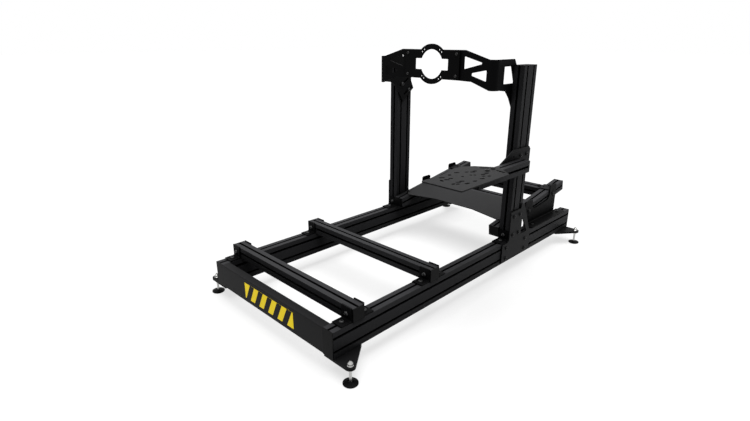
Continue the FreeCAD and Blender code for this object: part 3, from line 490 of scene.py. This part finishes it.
def upper_outlines(bm):
    """The outlines of a level plate's upper face, each a list of its points in order."""
    follows = {}
    for face in bm.faces:
        if not looks_up(face):
            continue
        for loop in face.loops:
            if not all(looks_up(other) for other in loop.edge.link_faces):
                follows[loop.vert] = loop.link_loop_next.vert
    outlines = []
    while follows:
        start, vert = follows.popitem()
        outline = [start.co.copy()]
        while vert != start:
            outline.append(vert.co.copy())
            vert = follows.pop(vert)
        outlines.append(outline)
    return outlines


def length_around(outline):
    return sum((b - a).length for a, b in zip(outline, outline[1:] + outline[:1]))


def widened(outline, growth):
    """A hole's outline with every point moved away from the hole by the same distance."""
    points = []
    for before, spot, after in zip(outline[-1:] + outline[:-1], outline, outline[1:] + outline[:1]):
        along = (spot - before).normalized() + (after - spot).normalized()
        points.append(spot + Vector((-along.y, along.x, 0)).normalized() * growth)
    return points


def plate_from(outlines, low, high):
    """A flat plate between two levels, cut out by its outlines."""
    curve = bpy.data.curves.new("plate_outline", "CURVE")
    curve.dimensions = "2D"
    curve.fill_mode = "BOTH"
    curve.extrude = (high - low) / 2
    for outline in outlines:
        spline = curve.splines.new("POLY")
        spline.points.add(len(outline) - 1)
        for point, spot in zip(spline.points, outline):
            point.co = (spot.x, spot.y, 0, 1)
        spline.use_cyclic_u = True
    holder = bpy.data.objects.new("plate_outline", curve)
    flat = bpy.data.meshes.new_from_object(holder)
    bm = bmesh.new()
    bm.from_mesh(flat)
    bm.transform(Matrix.Translation((0, 0, (low + high) / 2)))
    bmesh.ops.remove_doubles(bm, verts=bm.verts, dist=DOUBLE_POINTS)
    bpy.data.objects.remove(holder)
    bpy.data.curves.remove(curve)
    bpy.data.meshes.remove(flat)
    return bm


class COCKPIT_OT_seat_angles(bpy.types.Operator):
    """The seat bars' angles, which stand a little over the bars"""

    bl_idname = "cockpit.seat_angles"
    bl_label = "Seat bar angles"

    def execute(self, context):
        for bar in ("rear_seat_bar", "front_seat_bar"):
            node = f"{bar}_brackets"
            top = corners(node)[1].z
            lift = corners(bar)[1].z + ANGLE_OVER_BAR - top
            bm = plate_copy(node)
            move_points(bm, (-FAR, -FAR, top - ANGLE_CORNERS), (FAR, FAR, FAR), (0, 0, lift))
            # The darker powder coat of these angles is partly painted shade from the bars above them
            show_instead(bm, node, f"{bar}_angles", "powder_dark_and_shaded")
        return {"FINISHED"}


class COCKPIT_OT_wheel_sheet(bpy.types.Operator):
    """The left wheel bracket, with a narrow window in its leg"""

    bl_idname = "cockpit.wheel_sheet"
    bl_label = "Left wheel bracket"

    def execute(self, context):
        bend = corners("left_wheel_bracket")[0].y
        top = middle("wheel_plate").z + LEG_TOP
        bm = plate_copy("left_wheel_bracket")
        low = (-FAR, bend + WINDOW_EDGE[0], top - WINDOW_DROP[0])
        high = (FAR, bend + WINDOW_EDGE[1], top - WINDOW_DROP[1])
        move_points(bm, low, high, (0, WINDOW_SHIFT, 0))
        low = (-FAR, bend + TOP_CORNER[0], top - TOP_CORNER_DROP)
        high = (FAR, bend + TOP_CORNER[1], FAR)
        move_points(bm, low, high, (0, TOP_CORNER_SHIFT, 0))
        # The darker powder coat of this sheet is partly painted shade
        show_instead(bm, "left_wheel_bracket", "left_wheel_sheet", "powder_dark_and_shaded")
        return {"FINISHED"}


class COCKPIT_OT_shifter_top(bpy.types.Operator):
    """The shifter plate with its holes at their full width"""

    bl_idname = "cockpit.shifter_top"
    bl_label = "Shifter plate"

    def execute(self, context):
        low, high = corners("shifter_plate")
        bm = plate_copy("shifter_plate")
        *holes, rim = sorted(upper_outlines(bm), key=length_around)
        bm.free()
        wide_holes = [widened(hole, HOLE_GROWTH) for hole in holes]
        bm = plate_from(wide_holes + [rim], low.z, high.z)
        show_instead(bm, "shifter_plate", "shifter_top", "powder_grey")
        return {"FINISHED"}


# Places of the screws. The T-slots of an 80 mm side lie this far from its edge
TALL_SIDE_SLOTS = (20 * MM, 60 * MM)

# The bent angles: their sheet, and how far their screws lie from the bend
ANGLE_SHEET = 4 * MM
ANGLE_SCREW = 21 * MM

# The gussets: heights of the post's screws over the rail's foot, and places of the rail's screws past the
# post's near face
POST_SCREW_HEIGHTS = (101 * MM, 172 * MM)
RAIL_SCREW_PLACES = (-17 * MM, 116 * MM)

# The wheel mount: screws of the front plate from its centre, the side sheets, and the screws of their
# slots past the post's near face and under the wheel's centre
WHEEL_SCREW_ACROSS = 107 * MM
WHEEL_SCREW_UP = 36 * MM
SIDE_SHEET = 5 * MM
SIDE_SCREWS = ((20 * MM, 90.8 * MM), (60 * MM, 115.2 * MM))

# The shifter mount: height of the bracket's screws over the beam's middle, and the plate's screws back
# from its far end
SHIFTER_SCREW_RISE = 32 * MM
SHIFTER_PLATE_SCREWS = (27.5 * MM, 61 * MM)

# Foot plates: screws from the ends of the rails' plates
FOOT_SCREW_INSETS = (20 * MM, 78 * MM)

# Levelling feet: the disc's radius, and the rim, rise and upper width of the nut's flange
DISC_RADIUS = 21 * MM
FLANGE_RIM = 0.6 * MM
FLANGE_RISE = 2.8 * MM
FLANGE_TOP_SHARE = 0.76


class COCKPIT_OT_angle_screws(bpy.types.Operator):
    """Screws of the bent angles under the seat bars and the uprights"""

    bl_idname = "cockpit.angle_screws"
    bl_label = "Angle screws"

    def execute(self, context):
        bm = bmesh.new()
        rail_top = corners("left_rail")[1].z
        walls = []
        for bar in ("rear_seat_bar", "front_seat_bar"):
            low, high = corners(bar)
            walls += [(low.y, -1), (high.y, 1)]
        walls.append((corners("left_upright")[0].y, -1))
        for _, side in SIDES:
            x = middle(f"{side}_rail").x
            for wall, away in walls:
                flat = (x, wall + away * ANGLE_SCREW, rail_top + ANGLE_SHEET)
                standing = (x, wall + away * ANGLE_SHEET, rail_top + ANGLE_SCREW)
                button_head(bm, flat, UP, sizes().large_head)
                button_head(bm, standing, (0, away, 0), sizes().large_head)
        # These heads face up and towards the driver, so they get the painted highlight copy of the screw
        # finish
        new_piece("angle_screws", bm, "screws_painted_highlight")
        return {"FINISHED"}


class COCKPIT_OT_gusset_screws(bpy.types.Operator):
    """Screws that hold the gussets on the rails and the uprights"""

    bl_idname = "cockpit.gusset_screws"
    bl_label = "Gusset screws"

    def execute(self, context):
        bm = bmesh.new()
        rail_foot = corners("left_rail")[0].z
        near = corners("left_upright")[0].y
        spots = [(along, high) for along in TALL_SIDE_SLOTS for high in POST_SCREW_HEIGHTS]
        spots += [(along, high) for along in RAIL_SCREW_PLACES for high in TALL_SIDE_SLOTS]
        for sign, side in SIDES:
            face = outer_x(f"{side}_gusset", sign)
            for along, high in spots:
                spot = (face, near + along, rail_foot + high)
                button_head(bm, spot, (sign, 0, 0), sizes().large_head)
        new_piece("gusset_screws", bm, "black_oxide")
        return {"FINISHED"}


class COCKPIT_OT_wheel_screws(bpy.types.Operator):
    """Screws of the wheel plate and of the tilted slots beside it"""

    bl_idname = "cockpit.wheel_screws"
    bl_label = "Wheel mount screws"

    def execute(self, context):
        bm = bmesh.new()
        centre = middle("wheel_plate")
        face = corners("wheel_plate")[0].y
        for across in (-1, 1):
            for up in (-1, 1):
                spot = (centre.x + across * WHEEL_SCREW_ACROSS, face, centre.z + up * WHEEL_SCREW_UP)
                button_head(bm, spot, TO_DRIVER, sizes().small_head)
        near = corners("left_upright")[0].y
        for sign, side in SIDES:
            face = inner_x(f"{side}_upright", sign) - sign * SIDE_SHEET
            for along, drop in SIDE_SCREWS:
                spot = (face, near + along, centre.z - drop)
                button_head(bm, spot, (-sign, 0, 0), sizes().large_head, sizes().washer)
        # These heads get the painted highlight copy of the screw finish
        new_piece("wheel_mount_screws", bm, "screws_painted_highlight")
        return {"FINISHED"}


class COCKPIT_OT_shifter_screws(bpy.types.Operator):
    """Screws of the shifter mount's bracket and plate"""

    bl_idname = "cockpit.shifter_screws"
    bl_label = "Shifter mount screws"

    def execute(self, context):
        bm = bmesh.new()
        near = corners("right_upright")[0].y
        face = outer_x("shifter_bracket", 1)
        beam = middle("shifter_beam")
        for along in TALL_SIDE_SLOTS:
            spot = (face, near + along, beam.z + SHIFTER_SCREW_RISE)
            button_head(bm, spot, (1, 0, 0), sizes().large_head)
        top = corners("shifter_plate")[1]
        for back in SHIFTER_PLATE_SCREWS:
            button_head(bm, (beam.x, top.y - back, top.z), UP, sizes().large_head)
        new_piece("shifter_mount_screws", bm, "black_oxide")
        return {"FINISHED"}


# The pedal deck: its slope, and the height of its near end over the rails
DECK_TILT = math.radians(8.7)
DECK_OVER_RAIL = 45 * MM
DECK_UP = Vector((0, -math.sin(DECK_TILT), math.cos(DECK_TILT)))
DECK_ALONG = Vector((0, math.cos(DECK_TILT), math.sin(DECK_TILT)))

# Its side brackets: their sheet, the screws of their flange and the middles of their arms from the near
# end, and how far the beam's side slot lies straight under the deck's top
DECK_SHEET = 4 * MM
FLANGE_SCREWS = (33 * MM, 250 * MM)
ARM_MIDDLES = (27 * MM, 222 * MM)
SIDE_SLOT_DROP = 20.2 * MM

# Its plates: screws along the deck, how far out of the beams' middle they lie, and the plates' sheets
HEEL_SCREWS = (71 * MM, 202 * MM)
HEEL_SCREW_OUT = 3 * MM
HEEL_SHEET = 3 * MM
CORNER_SCREWS = ((0, 429 * MM), (-36 * MM, 409 * MM))
CORNER_SHEET = 4 * MM


def deck_spot(x, along, up=0):
    """A point on the deck's tilted top, counted from the near end of its side beams."""
    near_end = (x, corners("deck_beam_caps")[0].y, corners("left_rail")[1].z + DECK_OVER_RAIL)
    return Vector(near_end) + DECK_ALONG * along + DECK_UP * up


def side_slot_height(y):
    """Height of the deck beams' side slots over a place along the frame."""
    near_end = deck_spot(0, 0)
    return near_end.z + (y - near_end.y) * math.tan(DECK_TILT) - SIDE_SLOT_DROP


class COCKPIT_OT_deck_screws(bpy.types.Operator):
    """Screws of the pedal deck, its plates and its side brackets"""

    bl_idname = "cockpit.deck_screws"
    bl_label = "Pedal deck screws"

    def execute(self, context):
        bm = bmesh.new()
        flange_top = corners("left_rail")[1].z + DECK_SHEET
        for sign, side in SIDES:
            near = corners(f"{side}_deck_bracket")[0].y
            rail_x = middle(f"{side}_rail").x
            web = inner_x(f"{side}_deck_bracket", sign) + sign * DECK_SHEET
            beam_x = middle(f"{side}_deck_beam").x
            for along in FLANGE_SCREWS:
                button_head(bm, (rail_x, near + along, flange_top), UP, sizes().large_head)
            for along in ARM_MIDDLES:
                spot = (web, near + along, side_slot_height(near + along))
                button_head(bm, spot, (sign, 0, 0), sizes().large_head)
            for along in HEEL_SCREWS:
                spot = deck_spot(beam_x + sign * HEEL_SCREW_OUT, along, HEEL_SHEET)
                button_head(bm, spot, DECK_UP, sizes().small_head)
            for out, along in CORNER_SCREWS:
                spot = deck_spot(beam_x + sign * out, along, CORNER_SHEET)
                button_head(bm, spot, DECK_UP, sizes().large_head)
        new_piece("deck_screws", bm, "black_oxide")
        return {"FINISHED"}


class COCKPIT_OT_foot_screws(bpy.types.Operator):
    """Screws that hold the foot plates under the rails"""

    bl_idname = "cockpit.foot_screws"
    bl_label = "Foot plate screws"

    def execute(self, context):
        bm = bmesh.new()
        low, high = corners("foot_plates")
        for _, side in SIDES:
            x = middle(f"{side}_rail").x
            for inset in FOOT_SCREW_INSETS:
                for y in (low.y + inset, high.y - inset):
                    button_head(bm, (x, y, low.z), -UP, sizes().large_head)
        new_piece("foot_plate_screws", bm, "black_oxide")
        return {"FINISHED"}


class COCKPIT_OT_nut_flanges(bpy.types.Operator):
    """Flanges under the domed nuts of the levelling screws"""

    bl_idname = "cockpit.nut_flanges"
    bl_label = "Nut flanges"

    def execute(self, context):
        bm = bmesh.new()
        flange = sizes().flange
        low, high = corners("foot_discs")
        top = corners("foot_plates")[1].z
        rings = [(flange, 0, False), (flange, FLANGE_RIM, False)]
        rings.append((FLANGE_TOP_SHARE * flange, FLANGE_RISE, False))
        for x in (low.x + DISC_RADIUS, high.x - DISC_RADIUS):
            for y in (low.y + DISC_RADIUS, high.y - DISC_RADIUS):
                turned(bm, rings, facing((x, y, top), UP), sizes().facets)
        new_piece("nut_flanges", bm, "bright_zinc")
        return {"FINISHED"}


# The band: its middle from the rear cover's, and the thickness of its film and of the stripes on it
BAND_OFFSET = Vector((4, 0, 1.5)) * MM
BAND_FILM = 0.3 * MM
STRIPE_FILM = 0.1 * MM


def add_stripe(bm, centre, face, left, lean, half_height):
    """One leaning black stripe, a thin film on the band."""
    wide = sizes().stripe
    outline = ((left, -half_height), (left + wide, -half_height),
               (left + wide + lean, half_height), (left + lean, half_height))
    back = [bm.verts.new((centre.x + x, face, centre.z + z)) for x, z in outline]
    front = [bm.verts.new((centre.x + x, face - STRIPE_FILM, centre.z + z)) for x, z in outline]
    bm.faces.new(front)
    bm.faces.new(list(reversed(back)))
    for step in range(len(outline)):
        following = (step + 1) % len(outline)
        bm.faces.new((front[step], back[step], back[following], front[following]))


class COCKPIT_OT_band(bpy.types.Operator):
    """The yellow band with black stripes on the rear cover"""

    bl_idname = "cockpit.band"
    bl_label = "Striped band"

    def execute(self, context):
        length = sizes().band_length
        height = sizes().band_height
        face = corners("rear_cover")[0].y
        centre = middle("rear_cover") + BAND_OFFSET
        bm = bmesh.new()
        size = Matrix.Diagonal((length, BAND_FILM, height, 1))
        place = Matrix.Translation((centre.x, face - BAND_FILM / 2, centre.z))
        bmesh.ops.create_cube(bm, size=1, matrix=place @ size)
        new_piece("rear_band", bm, "band_yellow")
        stripes = bmesh.new()
        pitch = 2 * sizes().stripe
        lean = height / 2
        count = int(length / pitch)
        start = -(count - 0.5) * pitch / 2 - lean / 2
        for number in range(count):
            left = start + number * pitch
            add_stripe(stripes, centre, face - BAND_FILM, left, lean, height / 2)
        new_piece("rear_band_stripes", stripes, "powder_black")
        return {"FINISHED"}


# The floor, half its width in metres. It throws back this share of its colour and glows by this much where
# it is seen
FLOOR_HALF = 30
FLOOR_ROUGHNESS = 0.9
FLOOR_BOUNCE = 0.4
FLOOR_GLOW = 0.7

# The surround's strength where it lights the frame, and the lamp's direction, strength and width in degrees
SURROUND_LIGHT = 0.08
LAMP_TOWARDS = Vector((0.3, -0.25, 3.0))
LAMP_STRENGTH = 2.9
LAMP_SPREAD = 50

# The camera's place in metres, how far it looks down and to the left in degrees, and its lens and sensor in
# millimetres
CAMERA_SPOT = (1.10735, -1.33996, 0.8377)
CAMERA_DOWN = 19.46
CAMERA_LEFT = 45.09
CAMERA_LENS = 23.46
CAMERA_SENSOR = 36


def floor_material():
    """Pale floor that stays white to the camera and still shows the shadow."""
    material = new_material("studio_floor", colours().floor, roughness=FLOOR_ROUGHNESS, specular=0)
    tree = material.node_tree
    shader = shader_of(material)
    rays = tree.nodes.new("ShaderNodeLightPath").outputs
    seen = calculated(tree, "MAXIMUM", rays["Is Camera Ray"], rays["Is Glossy Ray"])
    unseen_colour = opaque(colours().floor, FLOOR_BOUNCE)
    feed(tree, shader.inputs["Base Color"], blended(tree, seen, unseen_colour, opaque(colours().floor)))
    shader.inputs["Emission Color"].default_value = opaque((1, 1, 1))
    feed(tree, shader.inputs["Emission Strength"], calculated(tree, "MULTIPLY", seen, FLOOR_GLOW))
    return material


def add_floor():
    bm = bmesh.new()
    bmesh.ops.create_grid(bm, x_segments=1, y_segments=1, size=FLOOR_HALF)
    mesh = bpy.data.meshes.new("studio_floor")
    bm.to_mesh(mesh)
    bm.free()
    mesh.materials.append(floor_material())
    floor = bpy.data.objects.new("studio_floor", mesh)
    bpy.context.collection.objects.link(floor)


def add_surround():
    """A pale surround that is pure white where the camera or a shiny face sees it."""
    world = bpy.data.worlds.new("studio_world")
    world.use_nodes = True
    tree = world.node_tree
    background = tree.nodes["Background"]
    background.inputs["Color"].default_value = opaque((1, 1, 1))
    rays = tree.nodes.new("ShaderNodeLightPath").outputs
    shiny = calculated(tree, "MAXIMUM", rays["Is Glossy Ray"], rays["Is Transmission Ray"])
    seen = calculated(tree, "MAXIMUM", rays["Is Camera Ray"], shiny)
    feed(tree, background.inputs["Strength"], ranged(tree, seen, SURROUND_LIGHT, 1))
    bpy.context.scene.world = world


def add_lamp():
    """A wide soft sun, so that the floor is lit evenly as far as the camera sees."""
    data = bpy.data.lights.new("soft_sun", "SUN")
    data.energy = LAMP_STRENGTH
    data.angle = math.radians(LAMP_SPREAD)
    lamp = bpy.data.objects.new("soft_sun", data)
    lamp.rotation_euler = LAMP_TOWARDS.to_track_quat("Z", "Y").to_euler()
    bpy.context.collection.objects.link(lamp)


def add_camera():
    """Stands where the photo's view of the frame puts it, with that view's lens."""
    data = bpy.data.cameras.new("camera")
    data.sensor_width = CAMERA_SENSOR
    data.lens = CAMERA_LENS
    camera = bpy.data.objects.new("camera", data)
    camera.location = CAMERA_SPOT
    camera.rotation_euler = (math.radians(90 - CAMERA_DOWN), 0, math.radians(CAMERA_LEFT))
    bpy.context.collection.objects.link(camera)
    bpy.context.scene.camera = camera


class COCKPIT_OT_stage(bpy.types.Operator):
    """Floor, surround, lamp and camera"""

    bl_idname = "cockpit.stage"
    bl_label = "Stage"

    def execute(self, context):
        context.scene.view_settings.view_transform = "Standard"
        add_floor()
        add_surround()
        add_lamp()
        add_camera()
        return {"FINISHED"}


OPERATORS = (
    COCKPIT_OT_finishes,
    COCKPIT_OT_seat_angles,
    COCKPIT_OT_wheel_sheet,
    COCKPIT_OT_shifter_top,
    COCKPIT_OT_angle_screws,
    COCKPIT_OT_gusset_screws,
    COCKPIT_OT_wheel_screws,
    COCKPIT_OT_shifter_screws,
    COCKPIT_OT_deck_screws,
    COCKPIT_OT_foot_screws,
    COCKPIT_OT_nut_flanges,
    COCKPIT_OT_band,
    COCKPIT_OT_stage,
)


class COCKPIT_PT_panel(bpy.types.Panel):
    """Lists the steps of the dressing with their sizes and colours"""

    bl_idname = "COCKPIT_PT_panel"
    bl_label = "Racing cockpit"
    bl_space_type = "VIEW_3D"
    bl_region_type = "UI"
    bl_category = "Cockpit"

    def draw(self, context):
        for group in (context.scene.cockpit_sizes, context.scene.cockpit_colours):
            column = self.layout.column()
            for name in group.__annotations__:
                column.prop(group, name)
        for operator in OPERATORS:
            self.layout.operator(operator.bl_idname)


CLASSES = (CockpitSizes, CockpitColours, *OPERATORS, COCKPIT_PT_panel)


def register():
    for item in CLASSES:
        bpy.utils.register_class(item)
    bpy.types.Scene.cockpit_sizes = PointerProperty(type=CockpitSizes)
    bpy.types.Scene.cockpit_colours = PointerProperty(type=CockpitColours)


def unregister():
    del bpy.types.Scene.cockpit_colours
    del bpy.types.Scene.cockpit_sizes
    for item in reversed(CLASSES):
        bpy.utils.unregister_class(item)


def main():
    register()
    for operator in OPERATORS:
        group, name = operator.bl_idname.split(".")
        getattr(getattr(bpy.ops, group), name)()


if __name__ == "__main__":
    main()
